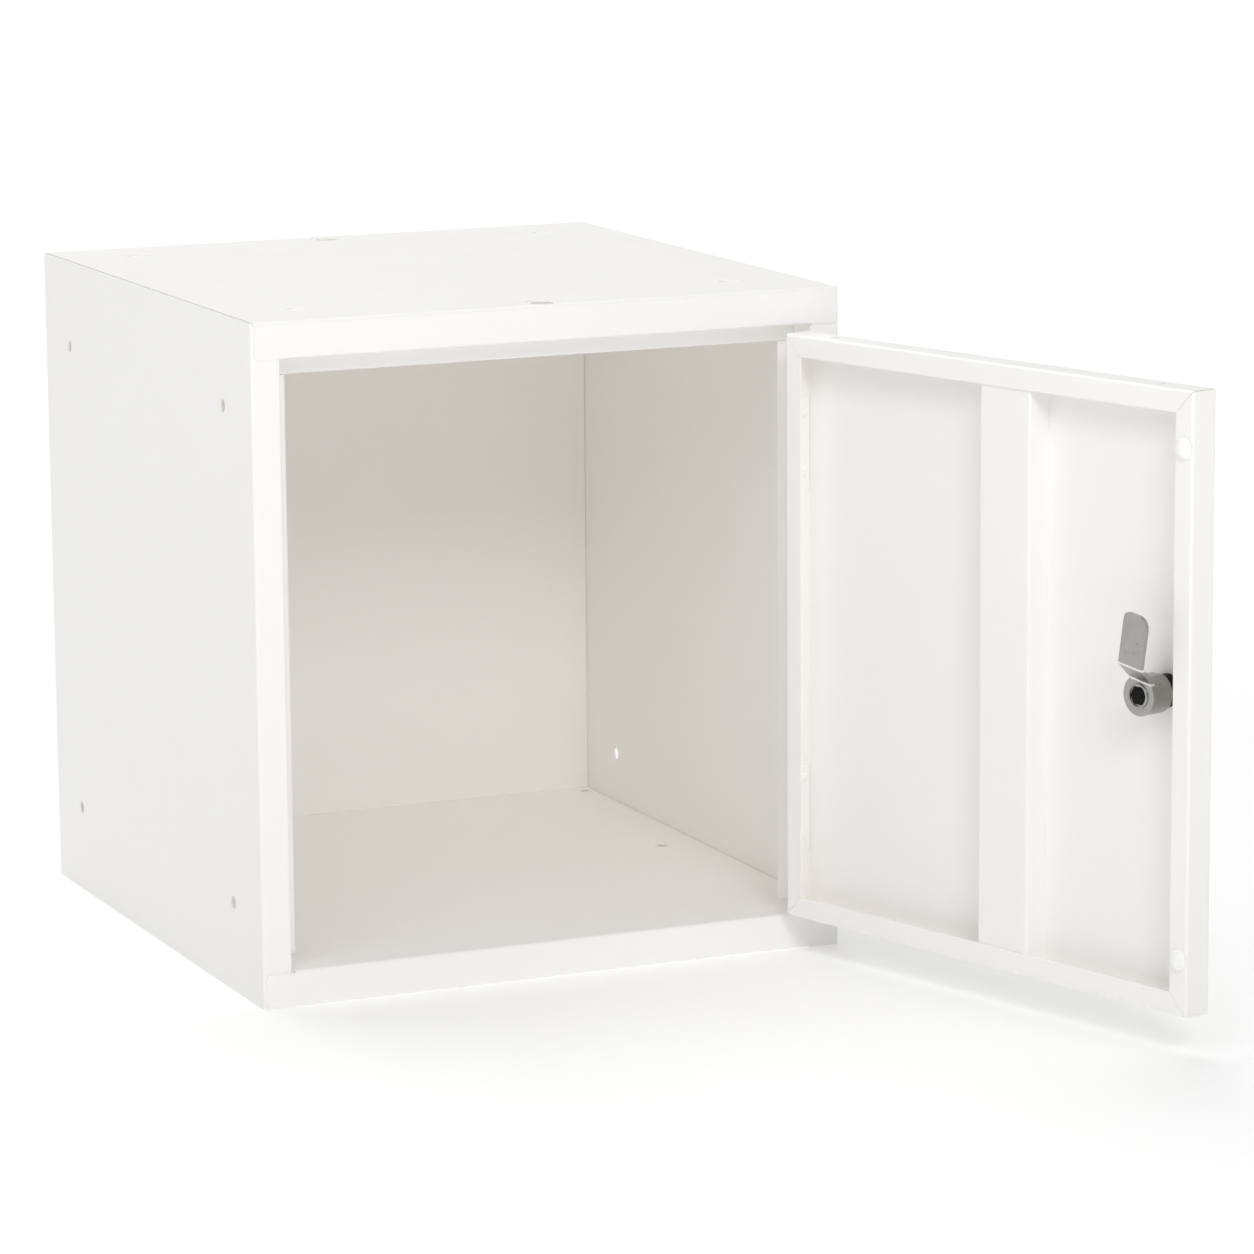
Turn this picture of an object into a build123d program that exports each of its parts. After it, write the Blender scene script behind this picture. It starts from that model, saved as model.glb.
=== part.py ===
from build123d import *
import os

# Single-door cube locker in folded sheet steel. Millimetres, +Z up, front towards -Y.
# The origin is the middle of the body's underside, on the surface the locker stands on.
# The door is drawn shut and then swung open about its hinge pins to the stored pose.

# ---------------------------------------------------------------- driving dimensions
width, depth, height = 305.0, 315.0, 330.0
sheet = 1.0              # thickness of every folded panel
bend = 0.5               # inside radius of every fold
seam = 0.3               # gap between panels that meet edge to edge
side_seam = 0.5          # gap between the side sheets and the ends of the top and floor panels
resting_gap = 0.05       # between two panels where one only rests on the other
past = 5.0               # how far a cutting tool runs past the face it breaks through
stile_width = 15.0       # face of the posts each side of the doorway
top_lip = 17.5           # height of the top panel's front and rear lips
floor_height = 18.0      # upper face of the floor
ear_height = 17.0        # the floor panel's ears, in front of the posts
stop_depth = 20.0        # front of the locker to the face of the door stops
side_stop, top_stop = 9.0, 10.0
strike_return = 7.0      # fold behind the lock-side stop that the cam bears on
stop_clearance = 3.5     # gap under the side stops
top_flange = 12.0        # turned down inside the side sheets
base_return = 34.0       # width of the flange under the floor panel
ear_corner = 2.5

bolt_hole = 6.5          # M6 clearance
bolt_edge_y, bolt_edge_z = 41.0, 44.0
vent_hole, vent_dish, vent_dish_depth, vent_edge = 11.5, 16.0, 0.5, 11.5
dimple, dimple_depth, dimple_edge = 13.0, 0.5, 39.5
floor_bolt_x, floor_bolt_y = 129.5, 7.5
rear_hole, rear_hole_x, rear_hole_y = 5.0, 145.5, 146.0

door_gap_side, door_gap_top, door_gap_bottom = 2.5, 2.4, 2.6
door_thickness = 15.4
door_inset = 0.5         # outer face of the door behind the front lips
door_return = 10.5       # flange turned in round the back of the door
mitre_gap = 0.35
door_edge_hole, door_edge_hole_inset = 5.0, 27.0
stiffener_width, stiffener_from_hinge, stiffener_foot = 33.0, 133.0, 9.0
tuck_gap = 0.1                              # stiffener's face to the underside of the door's flanges
open_angle = 107.0

hinge_length, hinge_inset = 44.0, 54.0      # centre of each hinge to the nearer end of the door
knuckle_diameter, pin_diameter = 5.5, 2.5
knuckle_count = 5
hinge_pin_forward = 2.95                    # hinge line in front of the locker's front face
knuckle_end_gap, knuckle_side_gap = 0.15, 0.3
pin_head_diameter, pin_head_rise = 4.8, 1.0
leaf_thickness = 1.0
frame_leaf_to_stop, door_leaf_to_back = 3.5, 2.0
rivet_shank, rivet_head, rivet_rise = 3.2, 5.8, 1.5
rivet_spacing, rivet_depth = 29.0, 5.6      # depth from the door's outer face
running = 0.05                              # radial clearance of pins, rivets and the lock plug

buffer_diameter, buffer_rise, buffer_from_end, buffer_from_edge = 10.0, 3.6, 26.5, 5.1
buffer_skirt, buffer_stem, buffer_barb, buffer_barb_length = 1.0, 4.0, 5.2, 1.4

lock_from_hinge, lock_height = 243.1, 168.0
housing_diameter, housing_flats, housing_depth = 19.0, 17.6, 18.5
neck_diameter = 14.4                        # part of the housing that passes through the door skin
bezel_diameter, bezel_rise, bezel_edge = 23.0, 2.2, 1.0
spacer_diameter, spacer_thickness = 15.6, 7.3
plug_diameter, plug_proud, plug_edge = 12.0, 0.3, 0.4
keyway_width, keyway_height = 1.4, 8.4
cam_width, cam_length, cam_sheet, cam_tilt = 14.4, 39.8, 2.0, 9.0
cam_first_bend, cam_second_bend, cam_joggle = 7.2, 15.0, 8.8
cam_tip_radii, cam_bend = (3.0, 6.0), 0.6    # at the tip's +X and -X corners, as drawn
cam_seat = 0.1                              # gap between the end of the housing and the cam
cam_nut_diameter, cam_nut_bore, cam_nut_thickness, cam_nut_edge = 11.8, 10.0, 0.8, 0.3
cam_drive, cam_drive_gap = 7.0, 0.1         # square drive between plug and cam
cam_dot, cam_dot_depth = 0.9, 0.2
cam_screw_flats, cam_screw_head, cam_screw_thread, cam_screw_length = 8.0, 0.6, 5.0, 7.0
wafer_count, first_wafer, wafer_pitch, wafer_thickness, wafer_gap = 5, 2.5, 2.2, 0.9, 0.05
wafer_width, wafer_height, wafer_window_width, wafer_window_height = 4.6, 10.6, 1.8, 7.2

# ---------------------------------------------------------------- places worked out from them
side_x = width / 2
front_y, back_y = -depth / 2, depth / 2
post_front, post_back = front_y + sheet, back_y - sheet
jamb_x = side_x - stile_width
stop_y = front_y + stop_depth
panel_x = side_x - sheet - side_seam         # ends of the top and floor panels
between_x = jamb_x - seam                    # panel parts that fit between the jambs
lip_z = height - top_lip
door_z0, door_z1 = floor_height + door_gap_bottom, lip_z - door_gap_top
door_x = jamb_x - door_gap_side              # the closed door spans -door_x to door_x
door_front = front_y + door_inset
door_back = door_front + door_thickness
hinge_x, hinge_y = jamb_x - door_gap_side / 2, front_y - hinge_pin_forward
hinge_centres = {"upper": door_z1 - hinge_inset, "lower": door_z0 + hinge_inset}
lock_x = door_x - lock_from_hinge
bore_diameter = plug_diameter + 2 * running
neck_hole = neck_diameter + 2 * running
cam_front = housing_depth + cam_seat         # depth of the cam's front face


# ---------------------------------------------------------------- shaping helpers
def block(x, y, z):
    """Box between pairs of limits; each pair may be given in either order."""
    limits = [sorted(pair) for pair in (x, y, z)]
    middle = [(low + high) / 2 for low, high in limits]
    return Pos(*middle) * Box(*[high - low for low, high in limits])


def rod(start, end, diameter):
    """Round bar between two points."""
    run = Vector(*end) - Vector(*start)
    return extrude(Plane(origin=start, z_dir=run) * Circle(diameter / 2), run.length)


def dome(base, direction, diameter, rise):
    """Spherical cap standing on a flat base."""
    radius = ((diameter / 2) ** 2 + rise**2) / (2 * rise)
    cap = (Pos(0, 0, rise - radius) * Sphere(radius)) & (Pos(0, 0, rise / 2) * Cylinder(diameter, rise))
    return Plane(origin=base, z_dir=direction) * cap


def folded_sheet(line, length, to_left=True, thickness=sheet, inside=bend):
    """Sheet folded along a line of points, given for one face, and drawn out along local +Z.

    The sheet lies to the left or right of the line. Each fold gets the inside radius on its hollow
    side and that radius plus the thickness on the other.
    """
    points = [Vector(*p) for p in line]
    steps = [(b - a).normalized() for a, b in zip(points, points[1:])]
    sign = 1 if to_left else -1
    normals = [Vector(-s.Y, s.X) * sign for s in steps]
    corners = list(zip(points[1:-1], steps, steps[1:], normals, normals[1:]))
    offset = [p + (m + n) * (thickness / (1 + m.dot(n))) for p, _, _, m, n in corners]
    offset = [points[0] + normals[0] * thickness, *offset, points[-1] + normals[-1] * thickness]
    outer = [(s.X * t.Y - s.Y * t.X) * sign > 0 for _, s, t, _, _ in corners]
    face = FilletPolyline(*points, radius=[inside + thickness * o for o in outer])
    other = FilletPolyline(*offset, radius=[inside + thickness * (not o) for o in outer])
    ends = [Line(face @ 0, other @ 0), Line(face @ 1, other @ 1)]
    profile = make_face([*face.edges(), *other.edges(), *ends[0].edges(), *ends[1].edges()])
    return extrude(profile, length)


def along_x(solid, start):
    """Turn a profile drawn in (y, z) and extruded, so that its length runs along X from start."""
    return Pos(start, 0, 0) * (Plane.YZ.location * solid)


def both_sides(solid):
    return [solid, mirror(solid, about=Plane.YZ)]


# ---------------------------------------------------------------- locker body
def side_panel(with_strike):
    """Left side: rear return, side sheet, front post face, jamb and door stop from one sheet."""
    line = [
        (-jamb_x, post_back), (-side_x, post_back), (-side_x, post_front), (-jamb_x, post_front),
        (-jamb_x, stop_y), (-jamb_x + side_stop, stop_y),
    ]
    if with_strike:
        line.append((-jamb_x + side_stop, stop_y + strike_return))
    panel = folded_sheet(line, height - seam)
    over_stop = ((-jamb_x, 0), (stop_y - sheet, stop_y + 2 * strike_return))
    panel -= block(*over_stop, (0, floor_height + stop_clearance))
    panel -= block(*over_stop, (lip_z - top_stop - seam, height))
    panel -= block((sheet + seam - side_x, 0), (front_y, back_y), (height - 2 * sheet, height))
    for y in (front_y + bolt_edge_y, back_y - bolt_edge_y):
        for z in (bolt_edge_z, height - bolt_edge_z):
            panel -= rod((-side_x - sheet, y, z), (-side_x + 2 * sheet, y, z), bolt_hole)
    return panel


def hinge_side_panel():
    """Right side: the mirror image, without the strike, drilled for the hinge rivets."""
    panel = mirror(side_panel(False), about=Plane.YZ)
    for z in rivet_heights():
        y = door_front + rivet_depth
        panel -= rod((jamb_x - sheet, y, z), (jamb_x + 2 * sheet, y, z), rivet_shank + 2 * running)
    return panel


def top_panel():
    """Top sheet with a front lip folded back and down as the upper door stop, and a rear lip."""
    ears = [(back_y, lip_z), (back_y, height), (front_y, height), (front_y, lip_z)]
    middle = ears + [(stop_y, lip_z), (stop_y, lip_z - top_stop)]
    panel = along_x(folded_sheet(middle, 2 * between_x), -between_x)
    panel += both_sides(along_x(folded_sheet(ears, panel_x - between_x), between_x))
    corners = [e for e in panel.edges().filter_by(Axis.Y)
               if abs(e.center().Z - lip_z) < 0.1 and abs(abs(e.center().X) - panel_x) < 0.1]
    panel = fillet(corners, ear_corner)
    for flange in both_sides(block(
            (panel_x - sheet, panel_x), (stop_y + 2 * sheet, post_back - 3 * sheet),
            (height - top_flange, height - sheet / 2))):
        panel += flange
    dishes = [(x, y, dimple, dimple_depth) for x in (dimple_edge - side_x, side_x - dimple_edge)
              for y in (front_y + dimple_edge, back_y - dimple_edge)]
    dishes += [(0, y, vent_dish, vent_dish_depth) for y in (front_y + vent_edge, back_y - vent_edge)]
    for x, y, diameter, sunk in dishes:
        bottom = height - sunk
        panel += rod((x, y, bottom - sheet), (x, y, height - sheet / 2), diameter + 2 * sheet)
        panel -= rod((x, y, bottom), (x, y, height + sheet), diameter)
    for y in (front_y + vent_edge, back_y - vent_edge):
        panel -= rod((0, y, height - past), (0, y, height + past), vent_hole)
    return panel


def floor_panel():
    """Floor as an inverted tray, notched round the posts, with ears in front of and behind them."""
    notch_y, rear_notch_y = stop_y + sheet + seam, post_back - sheet - seam

    def outline(inset):
        return make_face(Polyline(
            (between_x - inset, front_y + inset), (between_x - inset, notch_y + inset),
            (panel_x - inset, notch_y + inset), (panel_x - inset, rear_notch_y - inset),
            (between_x - inset, rear_notch_y - inset), (between_x - inset, back_y - inset),
            (inset - between_x, back_y - inset), (inset - between_x, rear_notch_y - inset),
            (inset - panel_x, rear_notch_y - inset), (inset - panel_x, notch_y + inset),
            (inset - between_x, notch_y + inset), (inset - between_x, front_y + inset),
            close=True))

    panel = extrude(outline(0), floor_height)
    folds = [e for e in panel.edges().filter_by(Axis.X) if abs(abs(e.center().Y) - back_y) < 0.1]
    panel = fillet(folds, bend + sheet)
    panel -= Pos(0, 0, sheet) * extrude(outline(sheet), floor_height - 2 * sheet)
    inner = panel_x - base_return
    panel -= block((-inner, inner), (-inner, inner), (-sheet, 2 * sheet))
    ear = block((between_x - sheet, panel_x), (front_y, front_y + sheet), (0, ear_height))
    ear = fillet([e for e in ear.edges().filter_by(Axis.Y)
                  if e.center().X > between_x and e.center().Z > 1], ear_corner)
    rear_ear = Pos(0, depth - sheet, 0) * ear
    for piece in both_sides(ear) + both_sides(rear_ear):
        panel += piece
    for relief in both_sides(block(
            (between_x - sheet, between_x), (front_y - sheet, front_y + 2.5 * sheet),
            (ear_height - seam, floor_height + sheet))):
        panel -= relief
    for x, y, diameter in ((floor_bolt_x, floor_bolt_y, bolt_hole), (rear_hole_x, rear_hole_y, rear_hole)):
        for mirrored in (x, -x):
            panel -= rod((mirrored, y, -sheet), (mirrored, y, floor_height + sheet), diameter)
    return panel


def back_panel():
    inner_face = post_back - 2 * sheet
    return block((-panel_x, panel_x), (inner_face, inner_face + sheet),
                 (floor_height + resting_gap, height - vent_dish_depth - sheet - seam))


# ---------------------------------------------------------------- hinges
def rivet_heights():
    return [z + step for z in hinge_centres.values() for step in (-rivet_spacing / 2, rivet_spacing / 2)]


def knuckle_spans(centre, own):
    """Start and end heights of the knuckles that belong to one leaf (own) of a hinge."""
    pitch = hinge_length / knuckle_count
    base = centre - hinge_length / 2
    return [(base + i * pitch, base + (i + 1) * pitch) for i in range(knuckle_count) if (i % 2 == 0) == own]


def hinge_leaf(centre, on_frame):
    """One leaf of a butt hinge: flat plate in the door gap and rolled knuckles round the pin."""
    if on_frame:
        near, far, reach = jamb_x - leaf_thickness, jamb_x, stop_y - frame_leaf_to_stop
    else:
        near, far, reach = door_x, door_x + leaf_thickness, door_back - door_leaf_to_back
    z0, z1 = centre - hinge_length / 2, centre + hinge_length / 2
    leaf = block((near, far), (hinge_y, reach), (z0, z1))
    gap = knuckle_end_gap
    for low, high in knuckle_spans(centre, not on_frame):
        leaf -= rod((hinge_x, hinge_y, low - gap), (hinge_x, hinge_y, high + gap),
                    knuckle_diameter + 2 * knuckle_side_gap)
    for low, high in knuckle_spans(centre, on_frame):
        leaf += rod((hinge_x, hinge_y, low + gap), (hinge_x, hinge_y, high - gap), knuckle_diameter)
    leaf -= rod((hinge_x, hinge_y, z0 - past), (hinge_x, hinge_y, z1 + past), pin_diameter + 2 * running)
    for step in (-rivet_spacing / 2, rivet_spacing / 2):
        y, z = door_front + rivet_depth, centre + step
        leaf -= rod((near - past, y, z), (far + past, y, z), rivet_shank + 2 * running)
    return leaf


def hinge_pin(centre):
    """Pin with a low domed head on top of the knuckles."""
    top, bottom = centre + hinge_length / 2, centre - hinge_length / 2
    pin = rod((hinge_x, hinge_y, bottom), (hinge_x, hinge_y, top), pin_diameter)
    return pin + dome((hinge_x, hinge_y, top), (0, 0, 1), pin_head_diameter, pin_head_rise)


def rivets(flush_x, head_x):
    """A column of rivets, flush in the door gap and domed on the hidden side."""
    outwards = (1, 0, 0) if head_x > flush_x else (-1, 0, 0)
    y = door_front + rivet_depth
    return [rod((flush_x, y, z), (head_x, y, z), rivet_shank)
            + dome((head_x, y, z), outwards, rivet_head, rivet_rise) for z in rivet_heights()]


def backing_plate(centre):
    """Strip inside the door's edge wall that spreads the load of one hinge's rivets."""
    far = door_x - sheet
    plate = block((far - sheet, far), (door_front + sheet + bend, door_back - sheet - seam),
                  (centre - hinge_length / 2, centre + hinge_length / 2))
    for step in (-rivet_spacing / 2, rivet_spacing / 2):
        y, z = door_front + rivet_depth, centre + step
        plate -= rod((far - 2 * sheet, y, z), (far + sheet, y, z), rivet_shank + 2 * running)
    return plate


# ---------------------------------------------------------------- door
def door_pan():
    """Skin with four edge walls, and flanges turned in round the back that meet in mitres."""
    pan = block((-door_x, door_x), (door_front, door_back), (door_z0, door_z1))
    folds = [e for e in pan.edges() if abs(e.tangent_at(0).Y) < 0.5]
    pan = fillet(folds, bend + sheet)
    x, z0, z1 = door_x - sheet, door_z0 + sheet, door_z1 - sheet
    pan -= block((-x, x), (door_front + sheet, door_back - sheet), (z0, z1))
    x, z0, z1 = door_x - door_return, door_z0 + door_return, door_z1 - door_return
    pan -= block((-x, x), (door_back - 2 * sheet, door_back + sheet), (z0, z1))
    slot = Box(4 * door_return, door_thickness - 2 * sheet, mitre_gap)
    y = door_front + 2 * sheet + (door_thickness - 2 * sheet) / 2
    for corner_x, corner_z, turn in (
            (door_x, door_z1, -45), (-door_x, door_z0, -45), (-door_x, door_z1, 45), (door_x, door_z0, 45)):
        reach = door_return * (1 if corner_x > 0 else -1)
        rise = door_return * (1 if corner_z > door_z0 else -1)
        flange = block((corner_x - reach - sheet / 4, corner_x + reach), (door_front, door_back + sheet),
                       (corner_z - rise - sheet / 4, corner_z + rise))
        pan -= (Pos(corner_x, y, corner_z) * Rot(0, turn, 0) * slot) & flange
    for hole_x in (door_edge_hole_inset - door_x, door_x - door_edge_hole_inset):
        for z in (door_z0, door_z1):
            y = (door_front + door_back) / 2
            pan -= rod((hole_x, y, z - 2 * sheet), (hole_x, y, z + 2 * sheet), door_edge_hole)
    for z in rivet_heights():
        y = door_front + rivet_depth
        pan -= rod((door_x - 2 * sheet, y, z), (door_x + sheet, y, z), rivet_shank + 2 * running)
    for _, x, z in buffer_places():
        pan -= rod((x, door_back - 2 * sheet, z), (x, door_back + sheet, z), buffer_stem + 2 * running)
    pan -= lock_rod(-sheet, 2 * sheet, neck_hole)
    return pan


def door_stiffener():
    """Channel on the door skin with two feet turned in, its face tucked under the door's flanges."""
    skin, crown = door_front + sheet, door_back - sheet - tuck_gap
    x1 = door_x - stiffener_from_hinge
    x0 = x1 - stiffener_width
    z0, z1 = door_z0 + sheet + seam, door_z1 - sheet - seam
    channel = folded_sheet([(x0, skin), (x0, crown), (x1, crown), (x1, skin)], z1 - z0, to_left=False)
    channel = Pos(0, 0, z0) * channel
    for foot in ((x0, x0 + stiffener_foot), (x1 - stiffener_foot, x1)):
        channel += block(foot, (skin, skin + sheet), (z0, z1))
    return channel


def buffer_places():
    x = buffer_from_edge - door_x
    return [("upper", x, door_z1 - buffer_from_end), ("lower", x, door_z0 + buffer_from_end)]


def buffer(x, z):
    """Soft button that meets the lock-side stop, held by a barbed stem through the flange."""
    shoulder = door_back + buffer_skirt
    head = rod((x, door_back, z), (x, shoulder, z), buffer_diameter)
    head += dome((x, shoulder, z), (0, 1, 0), buffer_diameter, buffer_rise - buffer_skirt)
    barb_top = door_back - sheet - 2 * resting_gap
    stem = rod((x, barb_top, z), (x, door_back, z), buffer_stem)
    barb = rod((x, barb_top - buffer_barb_length, z), (x, barb_top, z), buffer_barb)
    return head + stem + barb


# ---------------------------------------------------------------- cam lock
def lock_rod(start, end, diameter):
    """Round bar on the lock's axis between two depths behind the door's outer face."""
    return rod((lock_x, door_front + start, lock_height), (lock_x, door_front + end, lock_height), diameter)


def on_lock(solid):
    """Place a solid drawn about the lock's axis, with +Y as depth, turned to the cam's resting angle."""
    return Pos(lock_x, door_front, lock_height) * Rot(0, -cam_tilt, 0) * solid


def lock_housing():
    """Barrel with two flats behind the door skin, a neck through it, and a bore for the plug."""
    shoulder = sheet + spacer_thickness
    barrel = lock_rod(shoulder, housing_depth, housing_diameter)
    for sign in (-1, 1):
        flat = lock_height + sign * housing_flats / 2
        barrel -= block((lock_x - housing_diameter, lock_x + housing_diameter),
                        (door_front, door_front + housing_depth + past),
                        (flat, flat + sign * housing_diameter))
    neck = lock_rod(-bezel_rise, shoulder, neck_diameter)
    return neck + barrel - lock_rod(-past, housing_depth + past, bore_diameter)


def lock_bezel():
    """Ring on the front of the door, round the housing's neck."""
    ring = lock_rod(-bezel_rise, 0, bezel_diameter)
    rim = [e for e in ring.edges() if e.center().Y < door_front - bezel_rise + 0.1]
    return fillet(rim, bezel_edge) - lock_rod(-past, past, neck_hole)


def lock_spacer():
    """Ring between the inside of the door skin and the housing's barrel."""
    ring = lock_rod(sheet, sheet + spacer_thickness, spacer_diameter)
    return ring - lock_rod(0, spacer_thickness + past, neck_hole)


def wafer_depths():
    return [first_wafer + i * wafer_pitch for i in range(wafer_count)]


def about_lock(box_width, depths, box_height):
    """Box centred on the lock's axis, between two depths behind the door's outer face."""
    return block((lock_x - box_width / 2, lock_x + box_width / 2), [door_front + d for d in depths],
                 (lock_height - box_height / 2, lock_height + box_height / 2))


def lock_plug():
    """Keyed core: keyway, cross slots for the wafers, square drive for the cam, tapped end."""
    plug = lock_rod(-bezel_rise - plug_proud, housing_depth, plug_diameter)
    plug = fillet([e for e in plug.edges() if e.center().Y < door_front - bezel_rise], plug_edge)
    drive = Box(cam_drive, cam_sheet, cam_drive)
    plug += on_lock(Pos(0, cam_front + cam_sheet / 2 - cam_seat, 0) * drive)
    plug -= about_lock(keyway_width, (-past, wafer_depths()[-1] + wafer_thickness), keyway_height)
    for start in wafer_depths():
        slot = (start - wafer_gap, start + wafer_thickness + wafer_gap)
        plug -= about_lock(wafer_width + 2 * wafer_gap, slot, 2 * plug_diameter)
    tapped_from = cam_front + cam_sheet - cam_screw_length - wafer_gap
    return plug - lock_rod(tapped_from, housing_depth + past, cam_screw_thread + 2 * running)


def lock_wafers():
    """Flat brass wafers, each with a window for the key."""
    wafers = []
    for start in wafer_depths():
        span = (start, start + wafer_thickness)
        wafers.append(about_lock(wafer_width, span, wafer_height)
                      - about_lock(wafer_window_width, span, wafer_window_height))
    return wafers


def lock_cam():
    """Flat cam with a joggle away from the door skin, drawn pointing up and then tilted."""
    back_face = cam_front + cam_sheet
    line = [(-housing_diameter, back_face), (cam_first_bend, back_face),
            (cam_second_bend, back_face + cam_joggle), (cam_length + past, back_face + cam_joggle)]
    strip = folded_sheet(line, 2 * cam_width, to_left=False, thickness=cam_sheet, inside=cam_bend)
    # drawn as (up, depth), then stood on end so that up is +Z, depth is +Y and the width lies along X
    strip = Plane(origin=(cam_width, 0, 0), x_dir=(0, 0, 1), z_dir=(-1, 0, 0)).location * strip
    arm = Pos(0, cam_length / 2) * Rectangle(cam_width, cam_length)
    for end, radius in zip((1, -1), cam_tip_radii):
        corner = [v for v in arm.vertices() if v.X * end > 0 and v.Y > cam_length - 0.1]
        arm = fillet(corner, radius)
    drive_hole = Rectangle(cam_drive + 2 * cam_drive_gap, cam_drive + 2 * cam_drive_gap)
    outline = arm + Circle(housing_diameter / 2) - drive_hole
    cutter = extrude(Plane(origin=(0, cam_length, 0), x_dir=(1, 0, 0), z_dir=(0, -1, 0)) * outline, cam_length)
    cam = strip & cutter
    arm_face = back_face + cam_joggle
    for x, z in ((3.0, 21.2), (-1.8, 22.1), (-2.9, 27.0)):
        cam -= rod((x, arm_face - cam_dot_depth, z), (x, arm_face + past, z), cam_dot)
    return on_lock(cam)


def cam_nut():
    """Collar on the cam, round the screw head."""
    start = cam_front + cam_sheet
    collar = lock_rod(start, start + cam_nut_thickness, cam_nut_diameter)
    rim = [e for e in collar.edges() if e.center().Y > door_front + start + cam_nut_thickness / 2]
    collar = fillet(rim, cam_nut_edge)
    return collar - lock_rod(start - past, start + past, cam_nut_bore)


def cam_screw():
    """Hexagonal screw that holds the cam on the plug."""
    start = cam_front + cam_sheet
    place = Plane(origin=(lock_x, door_front + start, lock_height), x_dir=(1, 0, 0), z_dir=(0, 1, 0))
    head = extrude(place * RegularPolygon(cam_screw_flats / 2, 6, major_radius=False), cam_screw_head)
    return head + lock_rod(start - cam_screw_length, start, cam_screw_thread)


# ---------------------------------------------------------------- assembly
fixed = {
    "side_panel_left": side_panel(True),
    "side_panel_right": hinge_side_panel(),
    "top_panel": top_panel(),
    "floor_panel": floor_panel(),
    "back_panel": back_panel(),
    "frame_rivets": rivets(jamb_x - leaf_thickness, jamb_x + sheet),
}
swinging = {
    "door_pan": door_pan(),
    "door_stiffener": door_stiffener(),
    "door_rivets": rivets(door_x + leaf_thickness, door_x - 2 * sheet),
    "lock_housing": lock_housing(),
    "lock_bezel": lock_bezel(),
    "lock_spacer": lock_spacer(),
    "lock_plug": lock_plug(),
    "lock_wafers": lock_wafers(),
    "lock_cam": lock_cam(),
    "cam_nut": cam_nut(),
    "cam_screw": cam_screw(),
}
for place, centre in hinge_centres.items():
    fixed[f"hinge_frame_leaf_{place}"] = hinge_leaf(centre, on_frame=True)
    fixed[f"hinge_pin_{place}"] = hinge_pin(centre)
    swinging[f"hinge_door_leaf_{place}"] = hinge_leaf(centre, on_frame=False)
    swinging[f"hinge_backing_plate_{place}"] = backing_plate(centre)
for place, x, z in buffer_places():
    swinging[f"buffer_{place}"] = buffer(x, z)

swing_open = Pos(hinge_x, hinge_y, 0) * Rot(0, 0, open_angle) * Pos(-hinge_x, -hinge_y, 0)


def solids_of(shape):
    """The separate solids of one node, whether it was drawn as one piece or as a list."""
    pieces = shape if isinstance(shape, list) else [shape]
    return [solid for piece in pieces for solid in piece.solids()]


os.makedirs("parts", exist_ok=True)
for name, shape in fixed.items():
    export_step(Compound(children=solids_of(shape)), f"parts/{name}.step")
for name, shape in swinging.items():
    opened = [swing_open * solid for solid in solids_of(shape)]
    export_step(Compound(children=opened), f"parts/{name}.step")
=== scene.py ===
import math

import bpy
from mathutils import Matrix, Vector

# A white powder-coated cube locker with its door open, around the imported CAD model.
# Everything is in metres and in the CAD's own frame: +Z up, the doorway faces -Y.

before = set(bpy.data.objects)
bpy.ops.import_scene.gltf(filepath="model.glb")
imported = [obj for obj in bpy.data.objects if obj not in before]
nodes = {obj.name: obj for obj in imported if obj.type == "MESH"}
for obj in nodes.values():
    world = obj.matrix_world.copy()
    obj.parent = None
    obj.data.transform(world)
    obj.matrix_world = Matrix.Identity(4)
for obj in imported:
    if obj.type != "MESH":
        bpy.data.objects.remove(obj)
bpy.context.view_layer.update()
scene = bpy.context.scene

lights_aim = Vector((0.03, -0.17, 0.17))      # middle of the locker with its door open
lock_axis = Vector((0.2044, -0.3951, 0.168))  # a point on the lock's axis, door at rest
cam_up = Vector((0.0457, -0.1496, 0.9877))    # the way up the leaning cam, at rest
cam_folds = (0.0072, 0.015)                   # up the cam from the lock's axis
highlight_full_width, highlight_fade_width = 0.0003, 0.0008         # either side of a fold, widths of the full and the fading painted highlight
floor_half = 15.0
glow_start, glow_end = 0.6, 2.9               # distances over which the floor's own light grows
glow_near, glow_far = 0.16, 0.66

# colours: the tones are the two that a finish varies between
paint_tones = ((0.955, 0.947, 0.928), (0.95, 0.941, 0.921))
hardware_tones = ((0.955, 0.948, 0.934), (0.948, 0.94, 0.925))
buffer_tones = ((0.955, 0.952, 0.943), (0.94, 0.937, 0.925))
nickel_tones = ((0.43, 0.42, 0.405), (0.38, 0.372, 0.355))
# the second colour on the next line is a painted highlight, near white, laid along the cam's folds
nickel_scratch, nickel_fold_highlight = (0.35, 0.34, 0.325), (0.96, 0.95, 0.93)
black_tones = ((0.002, 0.002, 0.002), (0.006, 0.006, 0.005))
brass_tones = ((0.78, 0.6, 0.28), (0.6, 0.43, 0.18))
floor_tones = ((0.9, 0.9, 0.9), (0.92, 0.92, 0.92))


# ---------------------------------------------------------------- camera, light and floor
def add_camera(place, yaw, pitch, roll, lens):
    """Camera at a point. Yaw turns it right from looking along +Y, pitch tips it down, in degrees."""
    data = bpy.data.cameras.new("camera")
    data.lens, data.sensor_width, data.clip_end = lens, 36.0, 50.0
    camera = bpy.data.objects.new("camera", data)
    turn = (
        Matrix.Rotation(math.radians(-yaw), 4, "Z")
        @ Matrix.Rotation(math.radians(90 - pitch), 4, "X")
        @ Matrix.Rotation(math.radians(roll), 4, "Z")
    )
    camera.matrix_world = Matrix.Translation(place) @ turn
    scene.collection.objects.link(camera)
    scene.camera = camera


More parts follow.
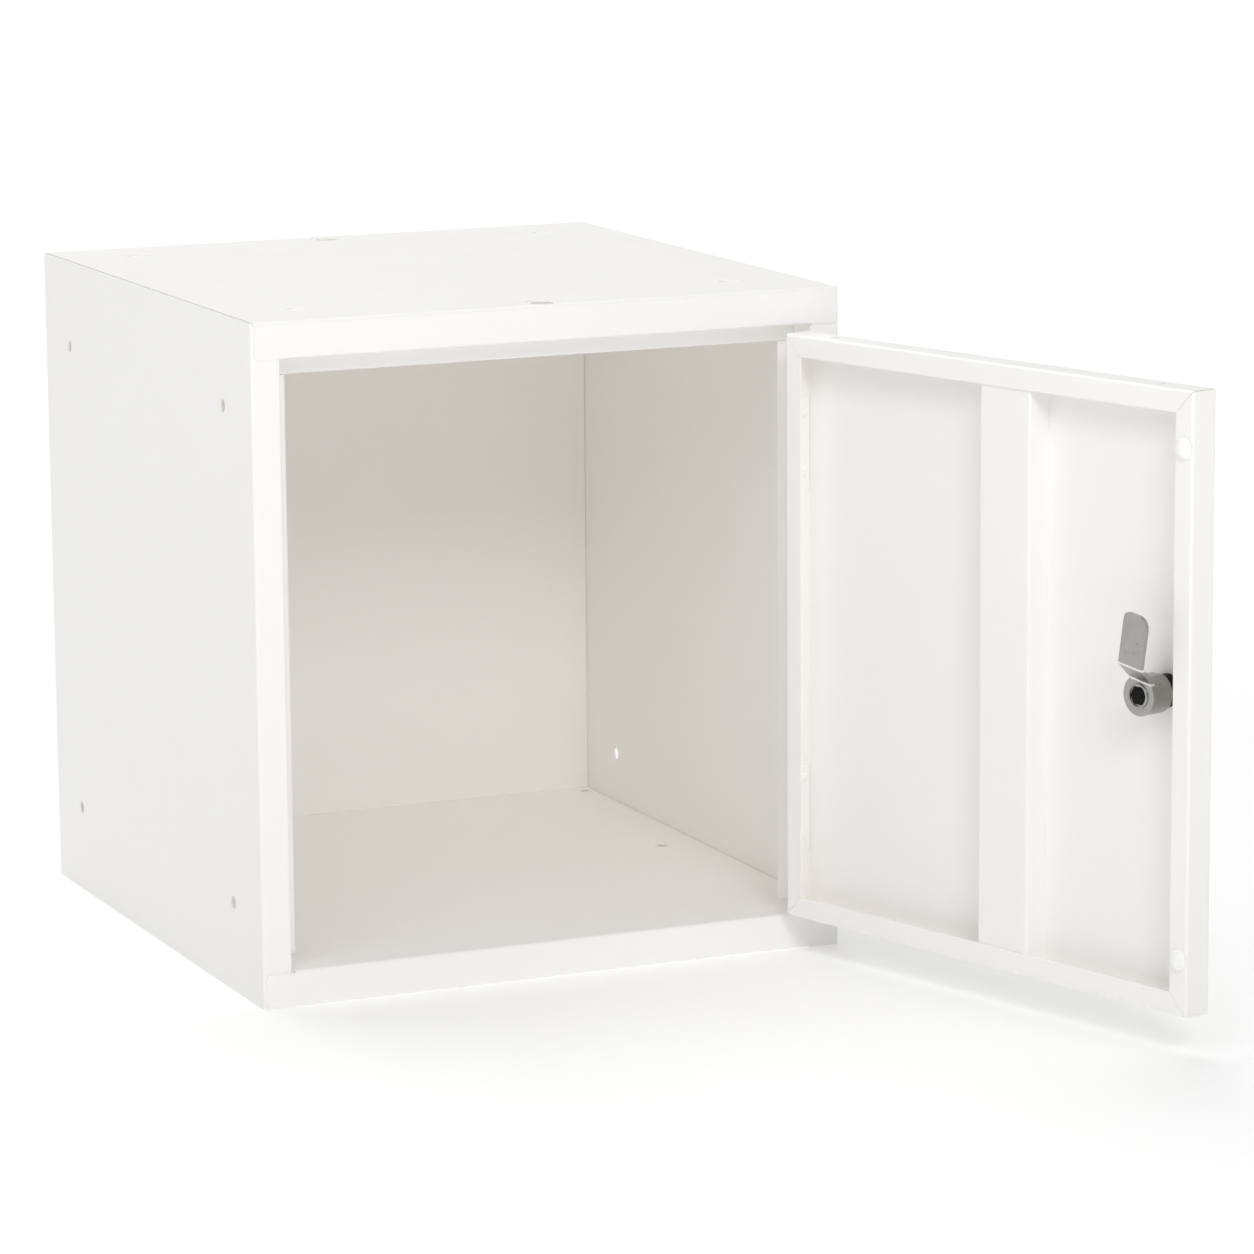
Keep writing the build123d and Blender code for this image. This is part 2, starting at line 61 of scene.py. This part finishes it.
def add_softbox(name, azimuth, elevation, distance, size, power):
    """Square soft light round the locker, at an azimuth (0 is in front) and elevation in degrees."""
    data = bpy.data.lights.new(name, "AREA")
    data.shape, data.size, data.energy = "SQUARE", size, power
    light = bpy.data.objects.new(name, data)
    a, e = math.radians(azimuth), math.radians(elevation)
    away = Vector((math.sin(a) * math.cos(e), -math.cos(a) * math.cos(e), math.sin(e)))
    turn = away.to_track_quat("Z", "Y").to_matrix().to_4x4()
    light.matrix_world = Matrix.Translation(lights_aim + away * distance) @ turn
    scene.collection.objects.link(light)


add_camera(place=(-0.9977, -2.5066, 0.6597), yaw=23.79, pitch=10.79, roll=-0.43, lens=154.7)

add_softbox("key", azimuth=-10, elevation=38, distance=2.6, size=1.6, power=5.1)
add_softbox("key_small", azimuth=-8, elevation=32, distance=2.6, size=0.6, power=12.8)
add_softbox("left_high", azimuth=-50, elevation=42, distance=2.5, size=1.5, power=9.8)
add_softbox("over_back", azimuth=180, elevation=60, distance=2.2, size=2.0, power=26.0)
add_softbox("left_rim", azimuth=-130, elevation=28, distance=2.6, size=0.9, power=2.4)

scene.view_settings.view_transform = "Standard"
scene.cycles.max_bounces, scene.cycles.diffuse_bounces = 16, 14
world = bpy.data.worlds.new("studio")
scene.world = world
world.use_nodes = True
world.node_tree.nodes["Background"].inputs["Color"].default_value = (1.0, 1.0, 1.0, 1.0)
world.node_tree.nodes["Background"].inputs["Strength"].default_value = 0.38

floor_mesh = bpy.data.meshes.new("studio_floor")
corners = [(x * floor_half, y * floor_half, 0.0) for x, y in ((-1, -1), (1, -1), (1, 1), (-1, 1))]
floor_mesh.from_pydata(corners, [], [(0, 1, 2, 3)])
studio_floor = bpy.data.objects.new("studio_floor", floor_mesh)
scene.collection.objects.link(studio_floor)


# ---------------------------------------------------------------- materials
class Surface:
    """A Principled material with a few helpers for procedural detail in object space (metres)."""

    def __init__(self, name, **constants):
        self.material = bpy.data.materials.new(name)
        self.material.use_nodes = True
        self.nodes = self.material.node_tree.nodes
        self.links = self.material.node_tree.links
        self.shader = self.nodes["Principled BSDF"]
        for socket, value in constants.items():
            self.shader.inputs[socket.replace("_", " ")].default_value = value
        self.place = self.nodes.new("ShaderNodeTexCoord").outputs["Object"]

    def noise(self, scale, detail=2.0, stretch=(1.0, 1.0, 1.0), distortion=0.0):
        """Noise value, near 0.5 on average. A stretch under 1 draws it out along that axis."""
        mapping = self.nodes.new("ShaderNodeMapping")
        mapping.inputs["Scale"].default_value = stretch
        texture = self.nodes.new("ShaderNodeTexNoise")
        texture.inputs["Scale"].default_value = scale
        texture.inputs["Detail"].default_value = detail
        texture.inputs["Distortion"].default_value = distortion
        self.links.new(self.place, mapping.inputs["Vector"])
        self.links.new(mapping.outputs["Vector"], texture.inputs["Vector"])
        return texture.outputs["Fac"]

    def spread(self, value, low, high, start=0.3, end=0.7):
        """Stretch a value from start..end to low..high."""
        node = self.nodes.new("ShaderNodeMapRange")
        for socket, number in (("From Min", start), ("From Max", end), ("To Min", low), ("To Max", high)):
            node.inputs[socket].default_value = number
        self.links.new(value, node.inputs["Value"])
        return node.outputs["Result"]

    def blend(self, factor, first, second):
        """Colour between two, each a plain colour or another colour output."""
        node = self.nodes.new("ShaderNodeMix")
        node.data_type = "RGBA"
        self.links.new(factor, node.inputs["Factor"])
        for socket, colour in ((node.inputs[6], first), (node.inputs[7], second)):
            if isinstance(colour, tuple):
                socket.default_value = (*colour, 1.0)
            else:
                self.links.new(colour, socket)
        return node.outputs[2]

    def distance_along(self, direction, level):
        """Distance either way from the plane across a direction at a level."""
        along, minus, size = (self.nodes.new(f"ShaderNode{kind}Math") for kind in ("Vector", "", ""))
        along.operation, minus.operation, size.operation = "DOT_PRODUCT", "SUBTRACT", "ABSOLUTE"
        along.inputs[1].default_value, minus.inputs[1].default_value = direction, level
        self.links.new(self.place, along.inputs[0])
        self.links.new(along.outputs["Value"], minus.inputs[0])
        self.links.new(minus.outputs[0], size.inputs[0])
        return size.outputs[0]

    def feed(self, socket, value):
        self.links.new(value, self.shader.inputs[socket])

    def bump(self, *layers):
        """Stack height layers, each (value, height in metres, strength), coarse to fine."""
        normal = None
        for value, height, strength in layers:
            node = self.nodes.new("ShaderNodeBump")
            node.inputs["Distance"].default_value = height
            node.inputs["Strength"].default_value = strength
            self.links.new(value, node.inputs["Height"])
            if normal:
                self.links.new(normal, node.inputs["Normal"])
            normal = node.outputs["Normal"]
        self.feed("Normal", normal)


def powder_coat(name, tones, gloss, grain):
    """Satin powder coat: faint clouding, fine speckle, orange peel and an uneven sheen."""
    light, dark = tones
    coat = Surface(name, Specular_IOR_Level=0.35)
    clouds = coat.blend(coat.spread(coat.noise(14.0), 0.0, 1.0), light, dark)
    speckle = coat.spread(coat.noise(1500.0, detail=3.0), 0.0, 0.3)
    coat.feed("Base Color", coat.blend(speckle, clouds, tuple(0.95 * c for c in dark)))
    coat.feed("Roughness", coat.spread(coat.noise(60.0, detail=4.0), *gloss))
    peel, grit = coat.noise(230.0), coat.noise(900.0, detail=3.0)
    coat.bump((peel, 0.00006 * grain, 0.5), (grit, 0.00003 * grain, 0.6))
    return coat.material


def soft_plastic():
    """Slightly glossy white plastic of the door buffers."""
    pad = Surface("white_buffer", Coat_Weight=0.15, Coat_Roughness=0.2)
    clouds = pad.spread(pad.noise(90.0), 0.0, 1.0)
    pad.feed("Base Color", pad.blend(clouds, *buffer_tones))
    pad.feed("Roughness", pad.spread(pad.noise(500.0, detail=3.0), 0.3, 0.42))
    pad.bump((pad.noise(700.0), 0.00002, 0.5))
    return pad.material


def satin_nickel(name, folds=()):
    """Nickel plate with a fine vertical brushing, and a painted highlight along any folds across the cam.
    """
    plate = Surface(name, Metallic=1.0)
    brushed = plate.noise(2600.0, detail=3.0, stretch=(1.0, 1.0, 0.04))
    smudge = plate.spread(plate.noise(120.0, detail=4.0), 0.0, 1.0)
    stain = plate.blend(smudge, *nickel_tones)
    colour = plate.blend(plate.spread(brushed, 0.0, 0.35), stain, nickel_scratch)
    for fold in folds:
        # painted highlight: a thin near-white band either side of each fold stands in for the reflection
        # on the bend
        away = plate.distance_along(cam_up, cam_up.dot(lock_axis) + fold)
        fold_highlight = plate.spread(away, 0.9, 0.0, start=highlight_full_width, end=highlight_fade_width)
        colour = plate.blend(fold_highlight, colour, nickel_fold_highlight)
    plate.feed("Base Color", colour)
    plate.feed("Roughness", plate.spread(plate.noise(400.0, detail=3.0), 0.27, 0.33))
    plate.bump((brushed, 0.000012, 0.5), (plate.noise(900.0), 0.00001, 0.4))
    return plate.material


def black_oxide():
    """Dull black finish of the lock's spacer and screw."""
    oxide = Surface("black_oxide", Specular_IOR_Level=0.12)
    clouds = oxide.spread(oxide.noise(350.0), 0.0, 1.0)
    oxide.feed("Base Color", oxide.blend(clouds, *black_tones))
    oxide.feed("Roughness", oxide.spread(oxide.noise(900.0, detail=3.0), 0.32, 0.5))
    oxide.bump((oxide.noise(1400.0), 0.00001, 0.5))
    return oxide.material


def stamped_brass():
    """Lightly tarnished brass of the lock's wafers."""
    brass = Surface("brass_wafer", Metallic=1.0)
    tarnish = brass.spread(brass.noise(300.0), 0.0, 1.0)
    brass.feed("Base Color", brass.blend(tarnish, *brass_tones))
    brass.feed("Roughness", brass.spread(brass.noise(900.0, detail=3.0), 0.22, 0.4))
    brass.bump((brass.noise(1800.0), 0.00001, 0.4))
    return brass.material


def pale_floor():
    """Seamless white sweep. Further from the locker it is lit from within, so that it stays white."""
    sweep = Surface("studio_floor", Roughness=0.9)
    sweep.shader.inputs["Emission Color"].default_value = (1.0, 1.0, 1.0, 1.0)
    tone = sweep.spread(sweep.noise(3.0, detail=4.0), 0.0, 1.0)
    sweep.feed("Base Color", sweep.blend(tone, *floor_tones))
    reach = sweep.nodes.new("ShaderNodeVectorMath")
    reach.operation = "LENGTH"
    sweep.links.new(sweep.place, reach.inputs[0])
    glow = sweep.spread(reach.outputs["Value"], glow_near, glow_far, start=glow_start, end=glow_end)
    sweep.feed("Emission Strength", glow)
    return sweep.material


powder = powder_coat("white_powder_coat", paint_tones, gloss=(0.4, 0.46), grain=1.0)
hardware = powder_coat("white_hardware", hardware_tones, gloss=(0.32, 0.4), grain=0.5)
rubber, nickel = soft_plastic(), satin_nickel("satin_nickel")
black, brass = black_oxide(), stamped_brass()
# the cam's nickel, with painted highlights along its two folds
folded_nickel = satin_nickel("folded_nickel", folds=cam_folds)
finishes = {
    "side_panel_left": powder, "side_panel_right": powder, "top_panel": powder, "floor_panel": powder,
    "back_panel": powder, "door_pan": powder, "door_stiffener": powder,
    "frame_rivets": hardware, "door_rivets": hardware,
    "buffer_upper": rubber, "buffer_lower": rubber,
    "lock_housing": nickel, "lock_bezel": nickel, "lock_plug": nickel, "cam_nut": nickel,
    "lock_cam": folded_nickel,
    "lock_spacer": black, "cam_screw": black, "lock_wafers": brass,
}
for place in ("upper", "lower"):
    for part in ("frame_leaf", "door_leaf", "pin", "backing_plate"):
        finishes[f"hinge_{part}_{place}"] = hardware
for name, node in nodes.items():
    node.data.materials.clear()
    node.data.materials.append(finishes[name])
floor_mesh.materials.append(pale_floor())
